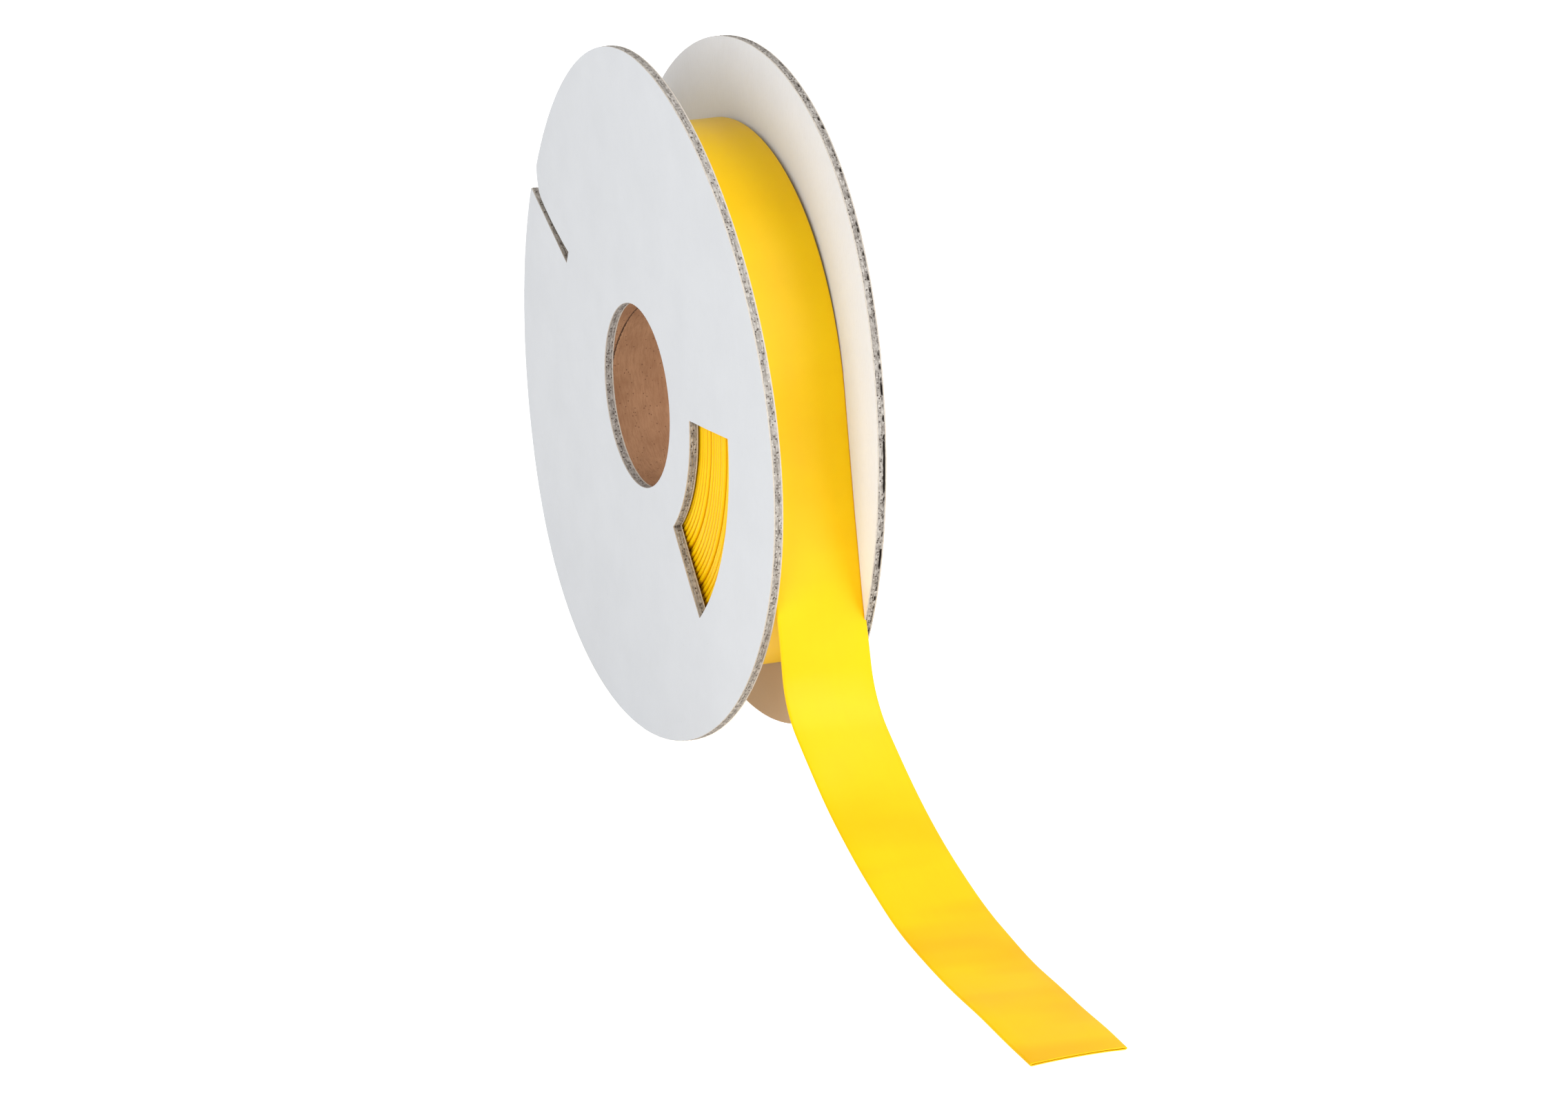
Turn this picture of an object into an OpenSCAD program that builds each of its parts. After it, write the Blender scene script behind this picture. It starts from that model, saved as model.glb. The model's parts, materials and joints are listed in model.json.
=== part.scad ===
// A board reel of lay-flat tubing: two laminated board flanges, a kraft core,
// the wound tubing, and its loose end hanging down and lying along the table.
// The origin is the middle of the bore, +Y is the spin axis (the front flange
// faces -Y), +Z is up and the loose end leaves towards +X.

/* [Reel] */
// Diameter of the flanges
flange_d = 150; // [120:1:220]
// Diameter of the bore through the whole reel
bore_d = 40; // [25:1:44]
// Clear width between the two flanges
gap = 23.7; // [22:0.1:60]
// Thickness of one flange board
board_t = 2.0; // [1.2:0.1:3]
// Thickness of the white paper liner on each face of a board
liner_t = 0.3; // [0.1:0.05:0.4]
// Wall of the core tube
core_wall = 2.5; // [1.8:0.1:4]

/* [Sight window and slit] */
// Inner radius of the sight window
window_in_r = 31.5; // [28:0.5:36]
// Outer radius of the sight window
window_out_r = 53; // [44:0.5:56]
// Upper end of the sight window, in degrees above +X
window_top = 6.5; // [-10:0.5:30]
// Lower end of the sight window, in degrees above +X
window_low = -47.5; // [-80:0.5:-20]
// Direction of the slit that holds the loose end, in degrees above +X
slit_angle = 157; // [100:1:200]
// Radius at which the slit starts
slit_in_r = 47.5; // [30:0.5:60]
// Width of the slit
slit_w = 2; // [1:0.1:4]

/* [Tubing] */
// Radius of the wound pack
pack_r = 57.8; // [50:0.1:59]
// Lay-flat width of the tubing
tube_w = 21.2; // [12:0.1:21.4]
// Thickness of the flattened tubing
tube_t = 1.2; // [0.8:0.05:2]
// Sideways place of the tubing between the flanges
tube_shift = 0.5; // [0:0.1:0.6]

/* [Loose end] */
// Where the loose end leaves the pack, in degrees above +X
lift_angle = 15; // [5:1:30]
// Radius of the tight bend above the table
bend_r = 20; // [15:1:30]
// Radius of the long sweep down to the table
sweep_r = 140; // [100:5:160]
// Slope of the loose end between the bend and the sweep, in degrees
sweep_slope = 33; // [25:1:36]
// Length that lies flat on the table
flat_len = 37.5; // [25:0.5:80]
// How far the cut end is out of square
end_skew = 2.4; // [0:0.2:8]

/* [Hidden] */

$fn = 96;
white = "whitesmoke";
grey = "darkgray";
kraft = "peru";
yellow = "gold";

flange_r = flange_d / 2;
bore_r = bore_d / 2;
ply_t = (board_t - 2 * liner_t) / 2;
// Depth of each layer's inner face, counted outwards from the reel's middle
inner_face = gap / 2;
inner_ply_face = inner_face + liner_t;
outer_ply_face = inner_ply_face + ply_t;
outer_liner_face = outer_ply_face + ply_t;

// The slit opens into a shallow V at the rim
notch_depth = 7;
notch_w = slit_w * 2.2;
past_rim = 1;

core_face_t = 0.5;
core_r = bore_r + core_wall;
glue_leg = 0.9;
strip_t = 0.15;
strip_w = 12;
strip_arc = 30;
strip_start = 200;

// The wound stock: a whole number of wraps between the core and the outer wrap
wind_play = 0.05;
stock_in_r = core_r + strip_t + wind_play;
wrap_in_r = pack_r - tube_t;
stock_out_r = wrap_in_r - wind_play;
wraps = floor((stock_out_r - stock_in_r) / tube_t);
pitch = (stock_out_r - stock_in_r) / wraps;
fold_round = 0.3;
stray = 0.28;
wrap_arc = 345;

// The loose end's middle line: a straight drop, a tight bend, a long sweep, a flat run
mid_r = pack_r - tube_t / 2;
drop_slope = 90 - lift_angle;
table_z = -flange_r;
flat_z = table_z + tube_t / 2;
lift_x = mid_r * cos(lift_angle);
lift_z = mid_r * sin(lift_angle);
bend_fall = bend_r * (cos(sweep_slope) - cos(drop_slope));
sweep_fall = sweep_r * (1 - cos(sweep_slope));
drop_len = (lift_z - bend_fall - sweep_fall - flat_z) / sin(drop_slope);
bend_x = lift_x + drop_len * cos(drop_slope) + bend_r * sin(drop_slope);
bend_z = lift_z - drop_len * sin(drop_slope) + bend_r * cos(drop_slope);
sweep_x = bend_x + (sweep_r - bend_r) * sin(sweep_slope);
sweep_z = flat_z + sweep_r;
// Slopes at which the loose end is divided, so that each length can turn on the next
bend_split = 54;
sweep_split = 20;
end_split = 2;
// Half the clearance left at a division, as an arc length
split_play = 0.4;
// Steps in which each curved stretch of the loose end is drawn
curve_steps = 8;

// Puts a shape drawn in X and Y, and raised in Z, upright in the X-Z plane facing -Y
module upright() {
    rotate([90, 0, 0]) children();
}

module ring_plate(outer_r, inner_r, start, thickness) {
    translate([0, 0, start])
        linear_extrude(thickness)
            difference() {
                circle(outer_r);
                circle(inner_r);
            }
}

module tube(outer_r, inner_r, length) {
    upright() ring_plate(outer_r, inner_r, -length / 2, length);
}

// A wedge from the axis that covers the angles from low to high
module wedge(low, high, reach) {
    span = high - low;
    steps = ceil(span / 30);
    far = reach / cos(span / steps / 2);
    arc = [for (i = [0:steps]) far * [cos(low + span * i / steps), sin(low + span * i / steps)]];
    polygon(concat([[0, 0]], arc));
}

module sight_window() {
    intersection() {
        difference() {
            circle(window_out_r);
            circle(window_in_r);
        }
        wedge(window_low, window_top, window_out_r + past_rim);
    }
}

module rim_slit() {
    far = flange_r + past_rim;
    rotate(slit_angle)
        polygon([
            [slit_in_r, -slit_w / 2],
            [flange_r - notch_depth, -slit_w / 2],
            [far, -notch_w / 2],
            [far, notch_w / 2],
            [flange_r - notch_depth, slit_w / 2],
            [slit_in_r, slit_w / 2]
        ]);
}

module front_layer(start, thickness) {
    upright()
        translate([0, 0, start])
            linear_extrude(thickness)
                difference() {
                    circle(flange_r);
                    circle(bore_r);
                    sight_window();
                    rim_slit();
                }
}

module rear_layer(start, thickness) {
    upright() ring_plate(flange_r, bore_r, -start - thickness, thickness);
}

// A fillet of glue between the core and a flange; side is -1 for front, 1 for rear
module glue_bead(side) {
    upright()
        rotate_extrude()
            polygon([
                [core_r, -side * inner_face],
                [core_r + glue_leg, -side * inner_face],
                [core_r, -side * (inner_face - glue_leg)]
            ]);
}

// How far a wrap has strayed sideways from the one before it
function stray_of(i) = stray * (0.6 * sin(137.5 * i) + 0.4 * sin(71 * i + 40));
function wrap_r(i) = stock_in_r + pitch * i;

// One side of the wound stock, wrap by wrap, with each fold rounded off
function stock_side(i, side) = let(edge = side * (tube_w / 2 - stray) + stray_of(i)) [
    [wrap_r(i), edge - side * fold_round],
    [wrap_r(i) + fold_round, edge],
    [wrap_r(i + 1) - fold_round, edge],
    [wrap_r(i + 1), edge - side * fold_round]
];

// Points on the loose end where its slope is given, set off from its middle line
function on_bend(slope, off) = [bend_x, bend_z] - (bend_r - off) * [sin(slope), cos(slope)];
function on_sweep(slope, off) = [sweep_x, sweep_z] - (sweep_r - off) * [sin(slope), cos(slope)];
function slopes(from, to) = [for (i = [0:curve_steps]) from + (to - from) * i / curve_steps];
// The slope lost along the clearance at a division
function play_slope(radius) = split_play / radius * 180 / PI;

// A length of tubing, from the two edges of its thickness in the X-Z plane
module strip(upper, lower) {
    back = [for (i = [len(lower) - 1:-1:0]) lower[i]];
    upright()
        translate([0, 0, -tube_shift - tube_w / 2])
            linear_extrude(tube_w)
                polygon(concat(upper, back));
}

module front_outer_liner() {
    color(white) front_layer(outer_liner_face, liner_t);
}

module front_outer_ply() {
    color(grey) front_layer(outer_ply_face, ply_t);
}

module front_inner_ply() {
    color(grey) front_layer(inner_ply_face, ply_t);
}

module front_inner_liner() {
    color(white) front_layer(inner_face, liner_t);
}

module rear_inner_liner() {
    color(white) rear_layer(inner_face, liner_t);
}

module rear_inner_ply() {
    color(grey) rear_layer(inner_ply_face, ply_t);
}

module rear_outer_ply() {
    color(grey) rear_layer(outer_ply_face, ply_t);
}

module rear_outer_liner() {
    color(white) rear_layer(outer_liner_face, liner_t);
}

module core_inner_ply() {
    color(kraft) tube(bore_r + core_face_t, bore_r, gap);
}

module core_body_ply() {
    color(kraft) tube(core_r - core_face_t, bore_r + core_face_t, gap);
}

module core_outer_ply() {
    color(kraft) tube(core_r, core_r - core_face_t, gap);
}

module front_glue_bead() {
    color("ivory") glue_bead(-1);
}

module rear_glue_bead() {
    color("ivory") glue_bead(1);
}

// The strip that holds the first wrap to the core
module anchor_strip() {
    color("wheat")
        upright()
            translate([0, 0, -tube_shift])
                rotate(strip_start)
                    rotate_extrude(angle = strip_arc)
                        translate([core_r, -strip_w / 2])
                            square([strip_t, strip_w]);
}

module wound_tubing() {
    front = [for (i = [0:wraps - 1]) each stock_side(i, 1)];
    rear = [for (i = [wraps - 1:-1:0], p = [3:-1:0]) stock_side(i, -1)[p]];
    color(yellow)
        upright()
            translate([0, 0, -tube_shift])
                rotate_extrude()
                    polygon(concat(front, rear));
}

module outer_wrap() {
    color(yellow)
        upright()
            translate([0, 0, -tube_shift])
                rotate(lift_angle)
                    rotate_extrude(angle = wrap_arc)
                        translate([wrap_in_r, -tube_w / 2])
                            square([tube_t, tube_w]);
}

// The straight drop from the pack and the first half of the tight bend
function drop_edge(off) = concat(
    [(mid_r + off) * [cos(lift_angle), sin(lift_angle)]],
    [for (s = slopes(drop_slope, bend_split + play_slope(bend_r))) on_bend(s, off)]
);

module tail_drop() {
    color(yellow) strip(drop_edge(tube_t / 2), drop_edge(-tube_t / 2));
}

// The rest of the tight bend and the start of the sweep
function bend_edge(off) = concat(
    [for (s = slopes(bend_split - play_slope(bend_r), sweep_slope)) on_bend(s, off)],
    [for (i = [1:curve_steps]) on_sweep(slopes(sweep_slope, sweep_split + play_slope(sweep_r))[i], off)]
);

module tail_bend() {
    color(yellow) strip(bend_edge(tube_t / 2), bend_edge(-tube_t / 2));
}

function sweep_edge(off) = [
    for (s = slopes(sweep_split - play_slope(sweep_r), end_split + play_slope(sweep_r))) on_sweep(s, off)
];

module tail_sweep() {
    color(yellow) strip(sweep_edge(tube_t / 2), sweep_edge(-tube_t / 2));
}

// The last of the sweep and the flat run, with its cut end out of square
function end_edge(off) = concat(
    [on_sweep(end_split - play_slope(sweep_r), off), on_sweep(0, off)],
    [[sweep_x + flat_len + end_skew, flat_z + off]]
);

module tail_end() {
    near = tube_shift - tube_w / 2;
    far = tube_shift + tube_w / 2;
    beyond = 1;
    color(yellow)
        difference() {
            strip(end_edge(tube_t / 2), end_edge(-tube_t / 2));
            translate([sweep_x + flat_len, 0, table_z - beyond])
                linear_extrude(tube_t + 2 * beyond)
                    polygon([
                        [end_skew / 2, near],
                        [end_skew / 2, near - beyond],
                        [end_skew + beyond, near - beyond],
                        [end_skew + beyond, far + beyond],
                        [-end_skew / 2, far + beyond],
                        [-end_skew / 2, far]
                    ]);
        }
}

front_outer_liner();
front_outer_ply();
front_inner_ply();
front_inner_liner();
rear_inner_liner();
rear_inner_ply();
rear_outer_ply();
rear_outer_liner();
core_inner_ply();
core_body_ply();
core_outer_ply();
front_glue_bead();
rear_glue_bead();
anchor_strip();
wound_tubing();
outer_wrap();
tail_drop();
tail_bend();
tail_sweep();
tail_end();
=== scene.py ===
"""The looks of a board reel of lay-flat tubing: laminated flanges with fibrous cut edges, a
spiral-wound kraft core, the wound tubing and its loose end. Lengths are in millimetres until
a mesh is made; angles are in degrees above +X in the X-Z plane, and +Y is the spin axis."""
import json
import math

import bpy
from mathutils import Matrix, Vector, noise


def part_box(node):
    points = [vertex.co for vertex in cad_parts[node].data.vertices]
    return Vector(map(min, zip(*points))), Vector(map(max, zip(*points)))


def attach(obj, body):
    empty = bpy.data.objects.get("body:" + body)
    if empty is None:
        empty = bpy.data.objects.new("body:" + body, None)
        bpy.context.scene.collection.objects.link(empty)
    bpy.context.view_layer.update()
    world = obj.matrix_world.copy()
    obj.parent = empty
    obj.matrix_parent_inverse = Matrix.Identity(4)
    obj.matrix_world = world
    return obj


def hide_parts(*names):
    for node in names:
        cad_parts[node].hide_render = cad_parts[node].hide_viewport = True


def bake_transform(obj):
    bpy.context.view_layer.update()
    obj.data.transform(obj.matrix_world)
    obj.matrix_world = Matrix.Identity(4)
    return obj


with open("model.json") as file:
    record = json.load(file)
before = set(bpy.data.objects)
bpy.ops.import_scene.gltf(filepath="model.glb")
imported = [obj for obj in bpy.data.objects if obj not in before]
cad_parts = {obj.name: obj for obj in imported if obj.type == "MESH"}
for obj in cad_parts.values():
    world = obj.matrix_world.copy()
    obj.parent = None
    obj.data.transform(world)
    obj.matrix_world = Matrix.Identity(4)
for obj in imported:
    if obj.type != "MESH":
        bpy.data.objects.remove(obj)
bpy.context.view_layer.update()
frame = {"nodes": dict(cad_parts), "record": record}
record = frame["record"]

MM = 0.001
SEED = 7

# ---------------------------------------------------------------- sizes from the frame


def box_mm(node):
    low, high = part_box(node)
    return Vector(low) / MM, Vector(high) / MM


def joint_mm(name):
    joint = next(j for j in record["behaviour"]["joints"] if j["name"] == name)
    return Vector(joint["pos_m"]) / MM


FLANGE_R = box_mm("rear_outer_ply")[1].x
BORE_R = next(m for m in record["mounts"] if m["name"] == "bore")["dims"]["r_mm"]
CORE_FACE_R = box_mm("core_inner_ply")[1].x
STOCK_OUT_R = box_mm("wound_tubing")[1].x
STOCK_IN_R = box_mm("core_outer_ply")[1].x + 0.25
PACK_R = -box_mm("outer_wrap")[0].x
TUBE_LOW, TUBE_HIGH = box_mm("outer_wrap")[0].y, box_mm("outer_wrap")[1].y
TABLE_Z = box_mm("tail_end")[0].z
TAIL_TIP_X = box_mm("tail_end")[1].x
HINGES = [joint_mm(f"tail_flex_{i}") for i in (1, 2, 3)]

# ---------------------------------------------------------------- sizes of the details

WINDOW_IN, WINDOW_OUT = 31.5, 53.0
WINDOW_LOW, WINDOW_TOP = -46.8, 6.5
SLIT_ANGLE, SLIT_IN = 156.3, 48.0
SLIT_HALF_IN, SLIT_HALF_RIM, SLIT_PINCH = 1.5, 0.95, 0.45
LOWER_LIP, UPPER_LIP, LIP_SPREAD = 1.1, 0.7, 55.0
COLUMN_STEP = 0.5

PITCH = 1.2
WALL_T = 0.95
LIFT_ANGLE = 15.0
BEND_R, SWEEP_R, SWEEP_SLOPE = 20.0, 140.0, 33.0
WRAP_ARC = 345.0


def clamp(x, low=0.0, high=1.0):
    return max(low, min(high, x))


def smooth(x):
    x = clamp(x)
    return x * x * (3 - 2 * x)


def sin(d):
    return math.sin(math.radians(d))


def cos(d):
    return math.cos(math.radians(d))


def polar(r, a, y):
    return Vector((r * cos(a), y, r * sin(a)))


# ---------------------------------------------------------------- material helpers


def srgb(r, g, b):
    """A colour given in 0-255 display values, as the linear colour that nodes take."""
    def linear(c):
        c /= 255
        return c / 12.92 if c <= 0.04045 else ((c + 0.055) / 1.055) ** 2.4
    return (linear(r), linear(g), linear(b), 1.0)


class Graph:
    """A material's node tree, with a short call for each kind of node used here."""

    def __init__(self, name, roughness):
        self.material = bpy.data.materials.new(name)
        self.material.use_nodes = True
        self.tree = self.material.node_tree
        self.shader = self.tree.nodes["Principled BSDF"]
        self.shader.inputs["Roughness"].default_value = roughness
        self.place = self.add("ShaderNodeTexCoord").outputs["Object"]

    def add(self, kind, **values):
        node = self.tree.nodes.new(kind)
        for key, value in values.items():
            setattr(node, key, value)
        return node

    def link(self, a, b):
        self.tree.links.new(a, b)

    def noise(self, scale, detail=4.0, stretch=None, roughness=0.55):
        node = self.add("ShaderNodeTexNoise")
        node.inputs["Scale"].default_value = scale
        node.inputs["Detail"].default_value = detail
        node.inputs["Roughness"].default_value = roughness
        source = self.place
        if stretch:
            mapping = self.add("ShaderNodeMapping")
            mapping.inputs["Scale"].default_value = stretch
            self.link(source, mapping.inputs["Vector"])
            source = mapping.outputs["Vector"]
        self.link(source, node.inputs["Vector"])
        return node.outputs["Fac"]

    def specks(self, scale, size):
        """Small round flecks: 1 inside a fleck, 0 outside."""
        node = self.add("ShaderNodeTexVoronoi")
        node.inputs["Scale"].default_value = scale
        self.link(self.place, node.inputs["Vector"])
        return self.ramp(node.outputs["Distance"], size, 1.0, size * 1.7, 0.0)

    def ramp(self, source, low, from_value, high, to_value):
        node = self.add("ShaderNodeMapRange")
        for key, value in zip(("From Min", "From Max", "To Min", "To Max"),
                              (low, high, from_value, to_value)):
            node.inputs[key].default_value = value
        self.link(source, node.inputs["Value"])
        return node.outputs["Result"]

    def mix(self, factor, a, b, blend="MIX"):
        node = self.add("ShaderNodeMix", data_type="RGBA", blend_type=blend)
        for key, value in (("Factor", factor), ("A", a), ("B", b)):
            sockets = [s for s in node.inputs if s.name == key and s.enabled]
            if isinstance(value, (tuple, float, int)):
                sockets[0].default_value = value
            else:
                self.link(value, sockets[0])
        return next(s for s in node.outputs if s.enabled)

    def crease(self, distance_mm, full=0.55):
        """An ambient-occlusion mask for painting shade: 1 deep in a crease, 0 in the open."""
        node = self.add("ShaderNodeAmbientOcclusion", samples=6)
        node.inputs["Distance"].default_value = distance_mm * MM
        return self.ramp(node.outputs["AO"], full, 1.0, 0.97, 0.0)

    def bump(self, height, distance_mm, strength=1.0, under=None):
        node = self.add("ShaderNodeBump")
        node.inputs["Strength"].default_value = strength
        node.inputs["Distance"].default_value = distance_mm * MM
        self.link(height, node.inputs["Height"])
        if under is not None:
            self.link(under, node.inputs["Normal"])
        return node.outputs["Normal"]

    def finish(self, colour, normal=None, roughness=None):
        self.link(colour, self.shader.inputs["Base Color"])
        if normal is not None:
            self.link(normal, self.shader.inputs["Normal"])
        if roughness is not None:
            self.link(roughness, self.shader.inputs["Roughness"])
        return self.material


def liner_paper(name, tone, cloud_tone, shade=None):
    """Calendered white paper: faint clouds, fine fibres, a few flecks and darker cut edges.
    shade, if given, is painted shade: a warm brown that stands in for the dim, yellow-bounced light near
    the table."""
    g = Graph(name, 0.62)
    clouds = g.ramp(g.noise(70, 5), 0.35, 0.0, 0.65, 1.0)
    colour = g.mix(clouds, tone, cloud_tone)
    fibres = g.noise(2600, 3, stretch=(1.0, 1.0, 0.25))
    colour = g.mix(g.ramp(fibres, 0.4, 0.0, 0.75, 0.10), colour, srgb(196, 196, 194))
    # Painted shade: the paper turns to the shade colour towards the table, none at 30 % of the rim's radius
    # below the axle and fully at 72 %.
    if shade:
        parts = g.add("ShaderNodeSeparateXYZ")
        g.link(g.place, parts.inputs["Vector"])
        rim_z = -FLANGE_R * MM
        low = g.ramp(parts.outputs["Z"], 0.72 * rim_z, 1.0, 0.30 * rim_z, 0.0)
        colour = g.mix(low, colour, shade)
    flecks = g.specks(420, 0.05)
    colour = g.mix(g.ramp(flecks, 0, 0.0, 1, 0.10), colour, srgb(150, 146, 138))
    facing = g.add("ShaderNodeSeparateXYZ")
    g.link(g.add("ShaderNodeNewGeometry").outputs["Normal"], facing.inputs["Vector"])
    flatness = g.add("ShaderNodeMath", operation="ABSOLUTE")
    g.link(facing.outputs["Y"], flatness.inputs[0])
    cut_edge = g.ramp(flatness.outputs["Value"], 0.5, 1.0, 0.9, 0.0)
    colour = g.mix(cut_edge, colour, g.mix(g.noise(1500, 4), srgb(172, 163, 152), srgb(214, 206, 194)))
    normal = g.bump(g.noise(900, 6), 0.05, 0.5)
    normal = g.bump(fibres, 0.02, 0.5, under=normal)
    g.shader.inputs["Specular IOR Level"].default_value = 0.35
    return g.finish(colour, normal, g.ramp(clouds, 0, 0.56, 1, 0.68))


def grey_board():
    """Recycled grey board: a taupe ground with light and dark fibre specks, and painted shade in its
    creases.
    """
    g = Graph("grey_board", 0.9)
    ground = g.mix(g.ramp(g.noise(900, 6), 0.35, 0.0, 0.65, 1.0), srgb(142, 136, 129), srgb(194, 188, 181))
    layers = g.noise(3000, 3, stretch=(0.2, 1.0, 0.2))
    colour = g.mix(g.ramp(layers, 0.45, 0.0, 0.7, 0.6), ground, srgb(112, 102, 94))
    colour = g.mix(g.specks(1500, 0.21), colour, srgb(84, 74, 68))
    colour = g.mix(g.ramp(g.specks(1100, 0.12), 0, 0.0, 1, 0.7), colour, srgb(226, 220, 212))
    # Painted shade: near-black brown wherever the ambient-occlusion mask finds a crease or hollow within
    # 1.2 mm.
    colour = g.mix(g.crease(1.2, full=0.4), colour, srgb(58, 48, 40))
    normal = g.bump(g.noise(1800, 6, roughness=0.7), 0.12, 0.9)
    return g.finish(colour, normal)


def kraft():
    """Brown kraft: long fibres round the tube, soft clouds and dark flecks."""
    g = Graph("kraft_paper", 0.78)
    clouds = g.ramp(g.noise(90, 5), 0.35, 0.0, 0.65, 1.0)
    colour = g.mix(clouds, srgb(149, 106, 73), srgb(173, 130, 95))
    fibres = g.noise(1500, 5, stretch=(0.35, 1.6, 0.35), roughness=0.65)
    colour = g.mix(g.ramp(fibres, 0.42, 0.0, 0.72, 0.5), colour, srgb(120, 80, 50))
    colour = g.mix(g.ramp(g.specks(900, 0.10), 0, 0.0, 1, 0.7), colour, srgb(84, 52, 30))
    normal = g.bump(fibres, 0.06, 0.7)
    return g.finish(colour, normal)


def seam_shadow():
    """The open joint between two turns of the kraft."""
    g = Graph("kraft_seam", 0.95)
    colour = g.mix(g.noise(1200, 4), srgb(48, 32, 22), srgb(110, 78, 52))
    return g.finish(colour)


def yellow_tubing():
    """Satin polyolefin: slightly translucent, with faint draw lines, soft clouds, painted shade in its
    creases, and soft diagonal stripes of painted shade across the part of the loose end that rests near the
    table, standing in for the shading of its gentle waves."""
    band_shade_from, band_shade_full = 85.0, 130.0
    g = Graph("yellow_tubing", 0.36)
    clouds = g.ramp(g.noise(45, 4), 0.35, 0.0, 0.65, 1.0)
    colour = g.mix(clouds, srgb(245, 197, 0), srgb(247, 201, 2))
    lines = g.noise(700, 3, stretch=(0.04, 1.0, 0.04))
    colour = g.mix(g.ramp(lines, 0.45, 0.0, 0.75, 0.10), colour, srgb(250, 188, 0))
    # Painted shade: deep orange in the grooves between wraps and other creases, from an ambient-occlusion
    # mask.
    colour = g.mix(g.ramp(g.crease(0.4), 0, 0.0, 1, 0.55), colour, srgb(196, 106, 4))
    # Painted shade: soft darker stripes that stand in for the shading of gentle waves, growing along X from
    # 85 to 130 mm.
    band_shade_noise = g.noise(34, 2, stretch=(1.5, 0.45, 1.5))
    place = g.add("ShaderNodeSeparateXYZ")
    g.link(g.place, place.inputs["Vector"])
    band_shade_strength = g.add("ShaderNodeMath", operation="MULTIPLY")
    g.link(g.ramp(band_shade_noise, 0.40, 0.0, 0.60, 1.0), band_shade_strength.inputs[0])
    g.link(g.ramp(place.outputs["X"], band_shade_from * MM, 0.2, band_shade_full * MM, 0.85), band_shade_strength.inputs[1])
    colour = g.mix(band_shade_strength.outputs["Value"], colour, srgb(236, 178, 0))
    normal = g.bump(g.noise(220, 3), 0.02, 0.35)
    normal = g.bump(lines, 0.008, 0.4, under=normal)
    shader = g.shader.inputs
    shader["Subsurface Weight"].default_value = 0.15
    shader["Subsurface Radius"].default_value = (1.0, 0.7, 0.1)
    shader["Subsurface Scale"].default_value = 0.5 * MM
    shader["Specular IOR Level"].default_value = 0.16
    return g.finish(colour, normal, g.ramp(clouds, 0, 0.32, 1, 0.42))


def plain_finish(name, tone, dark, grain, roughness):
    g = Graph(name, roughness)
    pattern = g.noise(grain, 5)
    return g.finish(g.mix(pattern, dark, tone), g.bump(pattern, 0.04, 0.6))


def white_floor():
    g = Graph("studio_floor", 0.9)
    g.shader.inputs["Emission Color"].default_value = (1, 1, 1, 1)
    glow = g.ramp(g.add("ShaderNodeLightPath").outputs["Is Camera Ray"], 0, 0.6, 1, 0.93)
    g.link(glow, g.shader.inputs["Emission Strength"])
    return g.finish(g.mix(g.noise(6, 2), (0.62, 0.62, 0.62, 1), (0.64, 0.64, 0.64, 1)))


# ---------------------------------------------------------------- mesh helpers


def make_piece(name, points, faces, materials, sharp=40.0, face_slots=None):
    mesh = bpy.data.meshes.new(name)
    mesh.from_pydata([p * MM for p in points], [], faces)
    for material in materials:
        mesh.materials.append(material)
    if face_slots:
        mesh.polygons.foreach_set("material_index", face_slots)
    mesh.validate()
    mesh.update()
    mesh.shade_smooth()
    mesh.set_sharp_from_angle(angle=math.radians(sharp))
    piece = bpy.data.objects.new(name, mesh)
    bpy.context.scene.collection.objects.link(piece)
    return piece


def loft(name, loops, material):
    """Skins loops of points, one after another, and caps both ends."""
    loops = list(loops)
    width = len(loops[0])
    points = [p for loop in loops for p in loop]
    faces = [tuple(range(width))[::-1]]
    for k in range(len(loops) - 1):
        a, b = k * width, (k + 1) * width
        faces += [(a + i, a + (i + 1) % width, b + (i + 1) % width, b + i) for i in range(width)]
    faces.append(tuple(range(len(points) - width, len(points))))
    return make_piece(name, points, faces, [material])


# ---------------------------------------------------------------- the flanges


def board_reach(r):
    """0 at the bore and 1 at the rim."""
    return clamp((r - BORE_R) / (FLANGE_R - BORE_R))


def front_warp(r, a):
    """How far the front board has bent along +Y: a saddle that grows towards the rim, a slight
    tilt, and both lips of the slit, which stand away from the tubing."""
    saddle = 1.23 * cos(2 * a) - 1.245 * sin(2 * a)
    tilt = 0.21 * cos(a) + 0.30 * sin(a)
    from_slit = (a - SLIT_ANGLE + 180) % 360 - 180
    lip = LOWER_LIP if from_slit > 0 else UPPER_LIP
    lip_reach = clamp((r - SLIT_IN) / (FLANGE_R - SLIT_IN))
    lip_share = 1 - smooth(abs(from_slit) / LIP_SPREAD)
    return saddle * board_reach(r) ** 3 + tilt * board_reach(r) - lip * lip_reach * lip_share


def rear_warp(r, a):
    """How far the rear board has bent along +Y: inwards as a whole, with two and three waves."""
    waves = 0.32 * sin(2 * a) - 0.55 * cos(2 * a) - 0.49 * cos(3 * a)
    return (waves - 0.24 - 0.26 * cos(a)) * board_reach(r) ** 1.5


def slit_edge(r, side):
    """Half the slit's width at a radius; the upper edge (side -1) rounds off at the rim."""
    rounded = 4.2 * clamp((r - 68) / 7) ** 2.2 if side < 0 else 0.35 * clamp((r - 73.5) / 1.5) ** 2
    along = clamp((r - SLIT_IN) / (FLANGE_R - SLIT_IN))
    straight = SLIT_HALF_IN + (SLIT_HALF_RIM - SLIT_HALF_IN) * along
    return straight - SLIT_PINCH * math.sin(math.pi * along) + rounded


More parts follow.
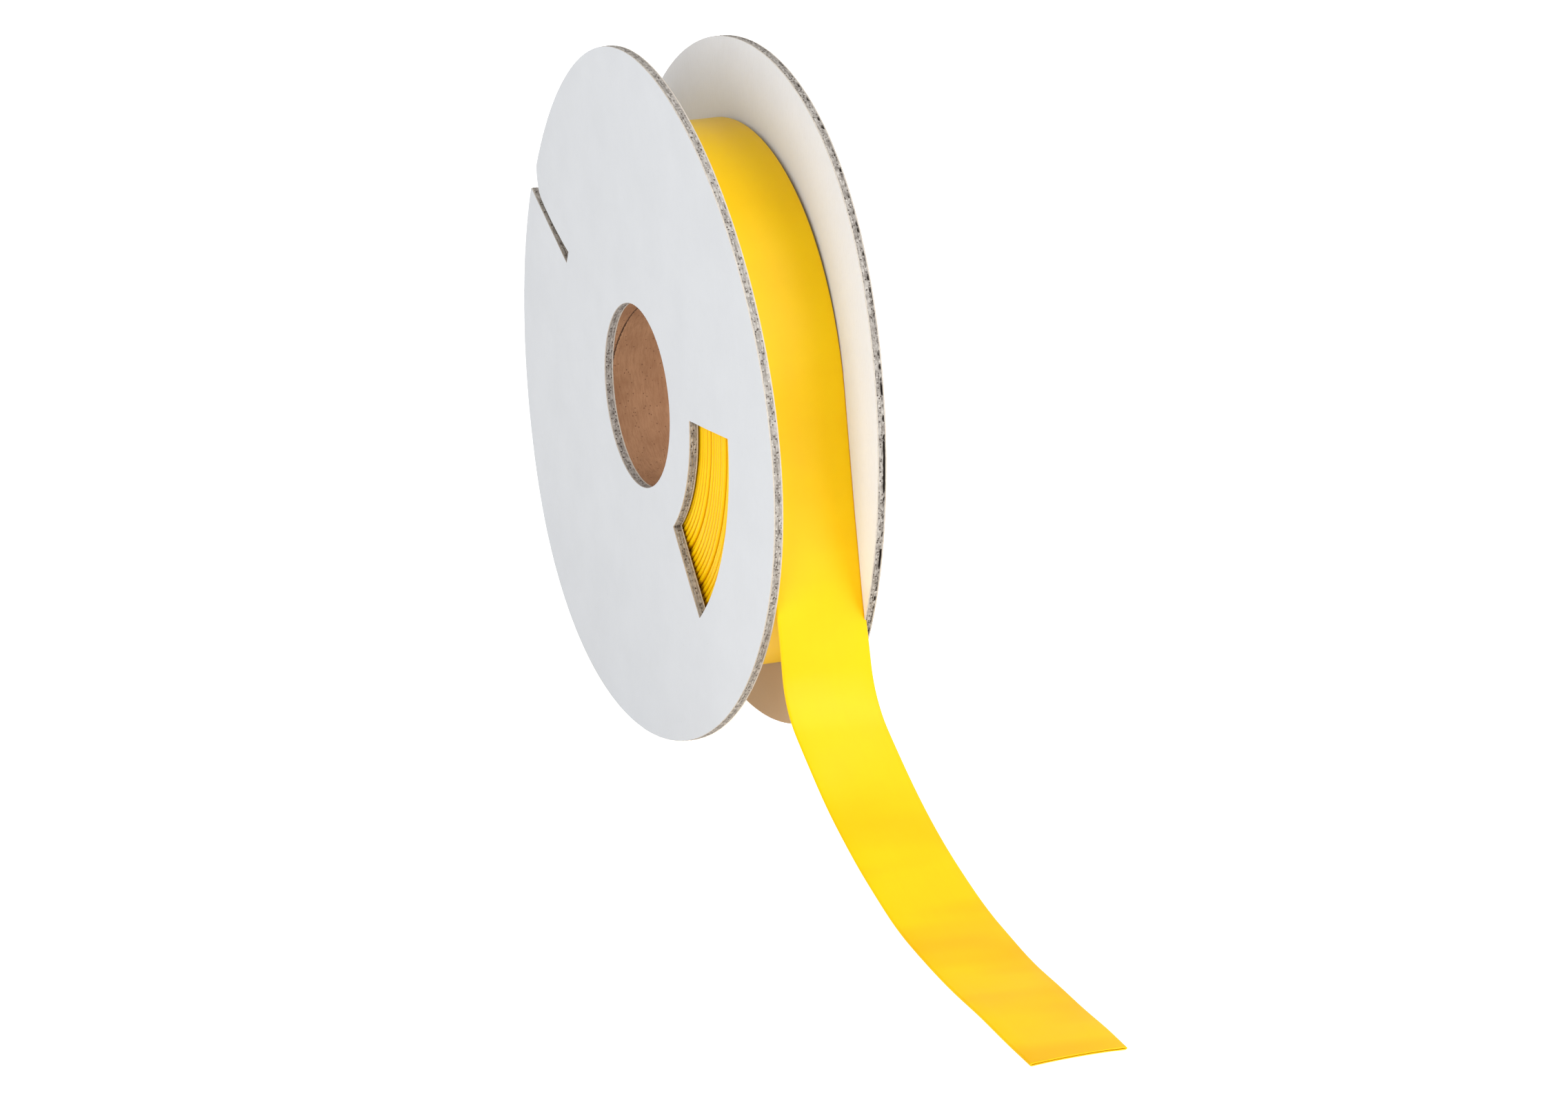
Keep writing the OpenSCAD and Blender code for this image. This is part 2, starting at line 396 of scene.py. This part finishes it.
def column_angles(windowed):
    """The grid's directions: even steps, moved onto the window's ends and the slit's edges."""
    angles = [i * COLUMN_STEP - 90 for i in range(round(360 / COLUMN_STEP))]
    if not windowed:
        return angles, None
    clear_of_slit = 4.2
    angles = [a for a in angles if abs(a - SLIT_ANGLE) > clear_of_slit]
    for edge in (WINDOW_LOW, WINDOW_TOP):
        nearest = min(range(len(angles)), key=lambda k: abs(angles[k] - edge))
        angles[nearest] = edge
    first = next(k for k, a in enumerate(angles) if a > SLIT_ANGLE)
    return angles[:first] + [SLIT_ANGLE - 1, SLIT_ANGLE + 1] + angles[first:], first


def radius_steps():
    marks = [BORE_R, BORE_R + 0.5, 24, 28, WINDOW_IN, 35, 39, 43, SLIT_IN, 50, WINDOW_OUT, 57, 61, 65, 68]
    near_rim = [70, 71.5, 72.7, 73.6, 74.2, 74.6]
    return marks + near_rim + [FLANGE_R]


def board_layer(name, low_y, high_y, warp, windowed, material, rows, fray, openings):
    """One sheet of a flange: a polar grid of cells, with walls wherever a cell has no
    neighbour. Walls have several rows, frayed by fray millimetres and rounded at both faces.
    openings, if not None, gives the depth of the holes in a wall."""
    radii = radius_steps()
    angles, slit_column = column_angles(windowed)
    columns, rings = len(angles), len(radii)

    def kept(i, j):
        if not 0 <= i < rings - 1:
            return False
        if not windowed:
            return True
        j %= columns
        in_slit = j == slit_column and radii[i] >= SLIT_IN
        in_window = WINDOW_LOW <= angles[j] < WINDOW_TOP and WINDOW_IN <= radii[i] < WINDOW_OUT
        return not (in_slit or in_window)

    def direction(i, j):
        if windowed and j in (slit_column, slit_column + 1):
            r, side = max(radii[i], SLIT_IN), (-1 if j == slit_column else 1)
            return SLIT_ANGLE + side * math.degrees(math.asin(slit_edge(r, side) / r))
        return angles[j]

    def spot(i, j, y, push=(0.0, 0.0)):
        a = direction(i, j)
        r = radii[i] + push[0]
        flat = polar(r, a, 0) + push[1] * Vector((-sin(a), 0, cos(a)))
        return flat + Vector((0, y + warp(radii[i], a), 0))

    outward = {}

    def lean(i, j, radial, turning):
        have = outward.get((i, j), (0.0, 0.0))
        outward[i, j] = (clamp(have[0] + radial, -1), clamp(have[1] + turning, -1))

    edges = []
    for i in range(rings - 1):
        for j in range(columns):
            if not kept(i, j):
                continue
            after = (j + 1) % columns
            for other, a, b, push in (((i - 1, j), (i, j), (i, after), (-1, 0)),
                                      ((i + 1, j), (i + 1, after), (i + 1, j), (1, 0)),
                                      ((i, j - 1), (i + 1, j), (i, j), (0, -1)),
                                      ((i, j + 1), (i, after), (i + 1, after), (0, 1))):
                if not kept(*other):
                    edges.append((a, b))
                    lean(*a, *push)
                    lean(*b, *push)

    points, index = [], {}

    def point(i, j, row):
        key = (i, j, row)
        if key in index:
            return index[key]
        share = row / rows
        y = low_y + (high_y - low_y) * share
        push = (0.0, 0.0)
        if (i, j) in outward:
            at_face = row in (0, rows)
            rough = noise.noise(Vector((i * 3.1 + j * 0.83, row * 1.7, low_y * 5.3 + SEED)))
            inset = -(0.05 if at_face else 0.0) + fray * rough
            if openings and not at_face:
                inset -= openings(direction(i, j), radii[i], share)
            push = tuple(inset * part for part in outward[i, j])
        index[key] = len(points)
        points.append(spot(i, j, y, push))
        return index[key]

    faces = []
    for i in range(rings - 1):
        for j in range(columns):
            if kept(i, j):
                after = (j + 1) % columns
                corners = ((i, j), (i, after), (i + 1, after), (i + 1, j))
                faces.append(tuple(point(*c, 0) for c in corners))
                faces.append(tuple(point(*c, rows) for c in corners[::-1]))
    for a, b in edges:
        for row in range(rows):
            faces.append((point(*b, row), point(*a, row), point(*a, row + 1), point(*b, row + 1)))
    return make_piece(name, points, faces, [material], sharp=50.0)


def flute_openings(angle, radius, share):
    """Depth of the small pores that line up in the outer part of the rear board's rim."""
    if radius < FLANGE_R - 1 or not 0.3 < share < 0.8:
        return 0.0
    pores = 0.75 * clamp(0.4 + noise.noise(Vector((angle * 0.9, 0, SEED))) * 1.6)
    every_other = round(angle / COLUMN_STEP) % 2
    slots = ((2.7, 4.4), (15.0, 1.0), (-13.0, 1.6))
    long_slot = max(1.6 * smooth((half - abs(angle - middle)) / 0.9) for middle, half in slots)
    return max(pores * every_other, long_slot)


def build_flanges(outside_paper, front_inside_paper, rear_inside_paper, board):
    """Eight sheets: each flange is a liner, two plies and a liner."""
    for side, warp, windowed in (("front", front_warp, True), ("rear", rear_warp, False)):
        for layer in ("outer_liner", "outer_ply", "inner_ply", "inner_liner"):
            node = f"{side}_{layer}"
            low, high = box_mm(node)
            is_liner = layer.endswith("liner")
            paper = outside_paper
            if layer == "inner_liner":
                paper = front_inside_paper if side == "front" else rear_inside_paper
            pores = flute_openings if node == "rear_outer_ply" else None
            sheet = board_layer(
                node + ("_paper" if is_liner else "_board"), low.y, high.y, warp, windowed,
                paper if is_liner else board, 2 if is_liner else 4, 0.05 if is_liner else 0.16, pores)
            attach(sheet, "reel")
            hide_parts(node)


# ---------------------------------------------------------------- the core

SEAM_PITCH, SEAM_HALF_WIDTH, SEAM_DEEPEST = 27.0, 0.34, 0.28
SEAM_START_ANGLE, SEAM_START_Y = 153.0, -10.4


def seam_depth(a, y):
    """The groove of the helical joint in the tube's bore, broken up along its length."""
    turns = (y - SEAM_START_Y) / SEAM_PITCH + (a - SEAM_START_ANGLE) / 360
    off = (turns - round(turns)) * SEAM_PITCH
    uneven = 0.8 + 0.35 * noise.noise(Vector((a * 0.12, y, 3.0)))
    return SEAM_DEEPEST * uneven * smooth(1 - abs(off) / SEAM_HALF_WIDTH)


def build_core(paper, seam):
    """The kraft tube's inner face, with its spiral joint cut into the surface."""
    low, high = box_mm("core_inner_ply")
    angle_count, along = 360, 200
    points, faces, slots = [], [], []
    for k in range(along + 1):
        y = low.y + (high.y - low.y) * k / along
        for j in range(angle_count):
            a = j * 360 / angle_count
            cockle = 0.03 * noise.noise(Vector((a * 0.05, y * 0.25, SEED)))
            points.append(polar(BORE_R + 0.03 + cockle + seam_depth(a, y), a, y))
    base = len(points)
    for y in (low.y, high.y):
        points += [polar(CORE_FACE_R, j * 360 / angle_count, y) for j in range(angle_count)]
    for k in range(along):
        for j in range(angle_count):
            after = (j + 1) % angle_count
            a, b = k * angle_count, (k + 1) * angle_count
            faces.append((a + j, b + j, b + after, a + after))
            middle = (points[a + j] + points[b + after]) / 2
            depth = math.hypot(middle.x, middle.z) - BORE_R
            slots.append(1 if depth > 0.13 else 0)
    last = along * angle_count
    for j in range(angle_count):
        after = (j + 1) % angle_count
        faces.append((j, after, base + after, base + j))
        faces.append((last + after, last + j, base + angle_count + j, base + angle_count + after))
        faces.append((base + j, base + after, base + angle_count + after, base + angle_count + j))
        slots += [0, 0, 0]
    tube = make_piece("core_bore_kraft", points, faces, [paper, seam], 50.0, slots)
    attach(tube, "reel")
    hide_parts("core_inner_ply")


# ---------------------------------------------------------------- the tubing


def lay_flat_section(width, thickness, bead=0.12, across=7, round_steps=6):
    """Flattened tubing seen end on, as (across, up) pairs: two walls, a little thicker at the
    two folded edges, where the folds stay round."""
    half = width / 2 - thickness / 2
    section = []
    for side in (1, -1):
        for k in range(round_steps + 1):
            turn = 90 - 180 * k / round_steps
            radius = thickness / 2 + bead / 2
            section.append((side * (half + radius * cos(turn) * 0.95), side * radius * sin(turn)))
        for k in range(1, across):
            u = side * half * (1 - 2 * k / across)
            edge = (abs(u) / half) ** 6
            section.append((u, -side * (thickness / 2 + bead / 2 * edge)))
    return section


TUBE_CENTRE = (TUBE_LOW + TUBE_HIGH) / 2
STOCK_SECTION = lay_flat_section(TUBE_HIGH - TUBE_LOW + 0.7, PITCH - 0.1, bead=0.0, across=3)
TAIL_SECTION = lay_flat_section(TUBE_HIGH - TUBE_LOW - 0.4, WALL_T)
PACK_SHIFT, PACK_SPREAD = 0.12, 1.035
SUNKEN_WRAPS = ((0.32, 0.35), (0.58, 0.45))


def stock_shift(wrap, turns):
    """How far along +Y a wrap of the stock lies: it wanders, sits closer to the front flange
    towards the core, and is sunk at the few places given as (share of the winding, depth)."""
    share = wrap / turns
    wander = 0.22 * noise.noise(Vector((wrap * 1.9, 0.3, SEED)))
    ripple = 0.07 * noise.noise(Vector((wrap * 360 / 28, 4.0, SEED)))
    sunken = sum(depth * smooth(1 - abs(share - at) * turns / 0.9) for at, depth in SUNKEN_WRAPS)
    snug = 0.35 + 0.65 * smooth(share / 0.75) * smooth((1 - share) / 0.12)
    return TUBE_CENTRE + PACK_SHIFT + wander + ripple + sunken - snug


def build_stock(yellow):
    """The wound stock as one real spiral, from the outermost wrap to the core."""
    outermost = STOCK_OUT_R - PITCH / 2
    turns = (outermost - STOCK_IN_R - PITCH / 2) / PITCH
    steps = round(turns * 90)
    loops = []
    for k in range(steps + 1):
        wrap = turns * k / steps
        shift = stock_shift(wrap, turns)
        r = outermost - PITCH * wrap
        loops.append([polar(r + v, wrap * 360, shift + u) for u, v in STOCK_SECTION])
    stock = loft("wound_tubing_spiral", loops, yellow)
    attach(stock, "reel")
    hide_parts("wound_tubing")


class TailPath:
    """The loose end's middle line by length from the lift-off: a straight drop, a tight bend,
    a long sweep and a flat run. at(s) gives x, z and the slope below horizontal."""

    def __init__(self):
        self.slope = 90 - LIFT_ANGLE
        middle = PACK_R - 0.15 - WALL_T / 2
        self.start = (middle * cos(LIFT_ANGLE), middle * sin(LIFT_ANGLE))
        self.flat_z = TABLE_Z + WALL_T / 2 + 0.1
        bend_fall = BEND_R * (cos(SWEEP_SLOPE) - cos(self.slope))
        sweep_fall = SWEEP_R * (1 - cos(SWEEP_SLOPE))
        self.drop = (self.start[1] - self.flat_z - bend_fall - sweep_fall) / sin(self.slope)
        self.bend = BEND_R * math.radians(self.slope - SWEEP_SLOPE)
        self.sweep = SWEEP_R * math.radians(SWEEP_SLOPE)
        x, z = self.walk(self.start, self.slope, self.drop)
        self.bend_start = (x, z)
        self.sweep_start = self.arc(self.bend_start, self.slope, SWEEP_SLOPE, BEND_R)
        self.flat_start = self.arc(self.sweep_start, SWEEP_SLOPE, 0, SWEEP_R)
        self.length = self.drop + self.bend + self.sweep + (TAIL_TIP_X - 0.1 - self.flat_start[0])

    @staticmethod
    def walk(place, slope, length):
        return place[0] + length * cos(slope), place[1] - length * sin(slope)

    @staticmethod
    def arc(place, slope, to_slope, radius):
        return (place[0] + radius * (sin(slope) - sin(to_slope)),
                place[1] - radius * (cos(to_slope) - cos(slope)))

    def at(self, s):
        if s < self.drop:
            return (*self.walk(self.start, self.slope, s), self.slope)
        s -= self.drop
        if s < self.bend:
            slope = self.slope - math.degrees(s / BEND_R)
            return (*self.arc(self.bend_start, self.slope, slope, BEND_R), slope)
        s -= self.bend
        if s < self.sweep:
            slope = SWEEP_SLOPE - math.degrees(s / SWEEP_R)
            return (*self.arc(self.sweep_start, SWEEP_SLOPE, slope, SWEEP_R), slope)
        return (self.flat_start[0] + s - self.sweep, self.flat_start[1], 0.0)

    def nearest(self, point):
        """The length at which the middle line passes closest to a point."""
        steps = [k * 0.25 for k in range(int(self.length / 0.25))]
        return min(steps, key=lambda s: math.hypot(self.at(s)[0] - point.x, self.at(s)[1] - point.z))


PATH = TailPath()
TAIL_CENTRE_SHIFT = 0.4
TAIL_THINNING = 0.35
SLACK = 3.5
FRONT_EDGE_LIFT = 2.6
TABLE_EDGE_LIFT = 1.5
END_SKEW = 2.4


def tail_loop(s, shrink=0.0, back=0.0):
    """One loop of the loose end. The front edge stands a little proud of the rear one, the
    whole width drifts towards the rear flange, and the last stretch is cut out of square.
    shrink and back make a smaller loop further back, inside the open end."""
    centre = TUBE_CENTRE + TAIL_CENTRE_SHIFT * smooth(s / 35)
    spread = PACK_SPREAD - 0.065 * smooth(s / 30) + 0.045 * smooth((s - 30) / 50)
    wave = 0.17 * smooth((s - 95) / 30)
    past_bend = s - PATH.drop - PATH.bend
    lift = FRONT_EDGE_LIFT * smooth(s / 60)
    lift += (TABLE_EDGE_LIFT - FRONT_EDGE_LIFT) * smooth(past_bend / 70)
    half = (TUBE_HIGH - TUBE_LOW) / 2
    thin = 1 - TAIL_THINNING * smooth(s / 40)
    loop = []
    for u, v in TAIL_SECTION:
        near_end = smooth((s - PATH.length + 25) / 25)
        skew = -END_SKEW * (u / half + 1) / 2 * near_end
        x, z, slope = PATH.at(s + skew - back)
        raise_by = lift * (half - u) / (2 * half)
        ripple = 0.30 * noise.noise(Vector((s / 15 + u / 30, u / 22, SEED))) * smooth(s / 40)
        ripple += wave * (1 + cos(s * 360 / 27 + u * 9)) / 2
        crown = 0.25 * (1 - (u / half) ** 2) * smooth(s / 40)
        up = v * thin * (1 - shrink) + raise_by + ripple + crown
        across = centre + u * spread * (1 - shrink * 0.04)
        loop.append(Vector((x + up * sin(slope), across, z + up * cos(slope))))
    return loop


def lengths(start, stop, step):
    count = max(1, round((stop - start) / step))
    return [start + (stop - start) * k / count for k in range(count + 1)]


def build_outer_wrap(yellow, first_cut):
    """The last wrap on the pack and the top of the drop, which turn together."""
    middle = PACK_R - 0.15 - WALL_T / 2
    loops = []
    step = 3.0
    count = round(WRAP_ARC / step)
    tuck = 14.0
    for k in range(count, 0, -1):
        turned = k * step
        thin = 0.3 + 0.7 * smooth((WRAP_ARC - turned) / tuck)
        a = LIFT_ANGLE + turned
        wander = 0.12 * noise.noise(Vector((turned / 60, 9.0, SEED))) * smooth(turned / 30)
        soft = 0.05 * noise.noise(Vector((turned / 25, 2.0, SEED))) * smooth(turned / 20)
        sag = SLACK * smooth((turned - 180) / 80) * smooth((WRAP_ARC - turned) / 35)
        r = middle - WALL_T / 2 * (1 - thin) + soft + sag
        shift = TUBE_CENTRE + wander + PACK_SHIFT * smooth(turned / 40)
        loops.append([polar(r + v * thin, a, shift + u * PACK_SPREAD) for u, v in TAIL_SECTION])
    loops += [tail_loop(s) for s in lengths(0, first_cut, 1.5)]
    wrap = loft("outer_wrap_and_drop", loops, yellow)
    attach(wrap, "tape_lead")
    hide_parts("outer_wrap")


def build_tail(yellow):
    """The loose end in three lengths, divided half way between its hinges."""
    at_hinge = [PATH.nearest(h) for h in HINGES]
    first_cut = at_hinge[0] - 26
    cuts = [first_cut] + [(a + b) / 2 for a, b in zip(at_hinge, at_hinge[1:])] + [PATH.length]
    build_outer_wrap(yellow, first_cut)
    stands_for = (("tail_drop",), ("tail_bend",), ("tail_sweep", "tail_end"))
    reach = 9.0
    for k, name in enumerate(("tail_upper", "tail_middle", "tail_lower")):
        loops = [tail_loop(s) for s in lengths(cuts[k], cuts[k + 1], 1.2)]
        if name == "tail_lower":
            loops += [tail_loop(PATH.length, shrink=0.75), tail_loop(PATH.length, shrink=0.75, back=1.2)]
        piece = loft(name + "_tubing", loops, yellow)
        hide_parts(*stands_for[k])
        before, after = (PATH.at(at_hinge[k] + d) for d in (-reach, reach))
        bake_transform(piece)


# ---------------------------------------------------------------- the CAD nodes that stay in view


def dress_nodes(finishes):
    for node, material in finishes.items():
        target = frame["nodes"][node]
        target.data.materials.clear()
        target.data.materials.append(material)


# ---------------------------------------------------------------- studio, in metres and watts

FLOOR_HALF = 6.0
WORLD_FILL, WORLD_SEEN = 0.53, 1.05


def area_light(name, place, aim, size, watts):
    data = bpy.data.lights.new(name, "AREA")
    data.shape = "RECTANGLE"
    data.size, data.size_y = size
    data.energy = watts
    light = bpy.data.objects.new(name, data)
    light.location = place
    light.rotation_euler = (Vector(aim) - Vector(place)).to_track_quat("-Z", "Y").to_euler()
    bpy.context.scene.collection.objects.link(light)


def build_floor():
    mesh = bpy.data.meshes.new("floor")
    signs = ((-1, -1), (1, -1), (1, 1), (-1, 1))
    mesh.from_pydata([(x * FLOOR_HALF, y * FLOOR_HALF, TABLE_Z * MM) for x, y in signs], [], [(0, 1, 2, 3)])
    mesh.materials.append(white_floor())
    floor = bpy.data.objects.new("floor", mesh)
    bpy.context.scene.collection.objects.link(floor)


def build_world():
    """White all round: brighter where the camera sees it than where it lights the reel."""
    world = bpy.data.worlds.new("studio")
    world.use_nodes = True
    nodes, links = world.node_tree.nodes, world.node_tree.links
    strength = nodes.new("ShaderNodeMapRange")
    strength.inputs["To Min"].default_value = WORLD_FILL
    strength.inputs["To Max"].default_value = WORLD_SEEN
    links.new(nodes.new("ShaderNodeLightPath").outputs["Is Camera Ray"], strength.inputs["Value"])
    links.new(strength.outputs["Result"], nodes["Background"].inputs["Strength"])
    nodes["Background"].inputs["Color"].default_value = (1.0, 1.0, 1.0, 1)
    bpy.context.scene.world = world


def build_lights():
    area_light("key", (1.0, 0.6, 0.6), (0, 0, 0), (0.7, 0.9), 6.6)
    area_light("camera_side", (0.9, -1.1, 0.4), (0, 0, 0), (1.0, 1.0), 10.2)
    area_light("top", (0.4, 0.8, 1.0), (0.1, 0, -0.07), (0.9, 0.9), 8)


CAMERA_AZIMUTH, CAMERA_ELEVATION = 67.8, 19.62
CAMERA_PLACE = (872.4, -335.6, 293.7)
CAMERA_LENS = 103.9


def build_camera():
    data = bpy.data.cameras.new("camera")
    data.lens = CAMERA_LENS
    data.sensor_width = 36
    data.clip_start = 0.01
    camera = bpy.data.objects.new("camera", data)
    a, e = CAMERA_AZIMUTH, CAMERA_ELEVATION
    back = Vector((sin(a) * cos(e), -cos(a) * cos(e), sin(e)))
    right = Vector((cos(a), sin(a), 0))
    up = back.cross(right)
    camera.matrix_world = Matrix.Translation(Vector(CAMERA_PLACE) * MM) @ Matrix(
        (right, up, back)).transposed().to_4x4()
    bpy.context.scene.collection.objects.link(camera)
    bpy.context.scene.camera = camera


# ---------------------------------------------------------------- the scene

board = grey_board()
# The flanges' outside liner: the same white paper toned down as painted shade, darker than the inside
# liners.
outside_white_painted_shade = liner_paper("white_liner_outside_painted_shade", srgb(205, 207, 210), srgb(203, 205, 208))
inner_white = liner_paper("white_liner_inner", srgb(218, 220, 222), srgb(214, 216, 219))
# The rear flange's inside liner, with painted shade towards the table.
rear_inside_white_painted_shade = liner_paper(
    "white_liner_rear_painted_shade", srgb(232, 235, 242), srgb(229, 232, 239), shade=srgb(192, 166, 136))
brown = kraft()
tubing = yellow_tubing()

build_flanges(outside_white_painted_shade, inner_white, rear_inside_white_painted_shade, board)
build_core(brown, seam_shadow())
build_stock(tubing)
build_tail(tubing)
glue = plain_finish("dried_glue", srgb(232, 226, 206), srgb(214, 204, 178), 500, 0.4)
strip = plain_finish("paper_strip", srgb(224, 208, 168), srgb(206, 186, 140), 900, 0.75)
dress_nodes({
    "core_body_ply": brown,
    "core_outer_ply": brown,
    "front_glue_bead": glue,
    "rear_glue_bead": glue,
    "anchor_strip": strip,
})
build_floor()
build_world()
build_lights()
build_camera()
bpy.context.scene.view_settings.view_transform = "Standard"
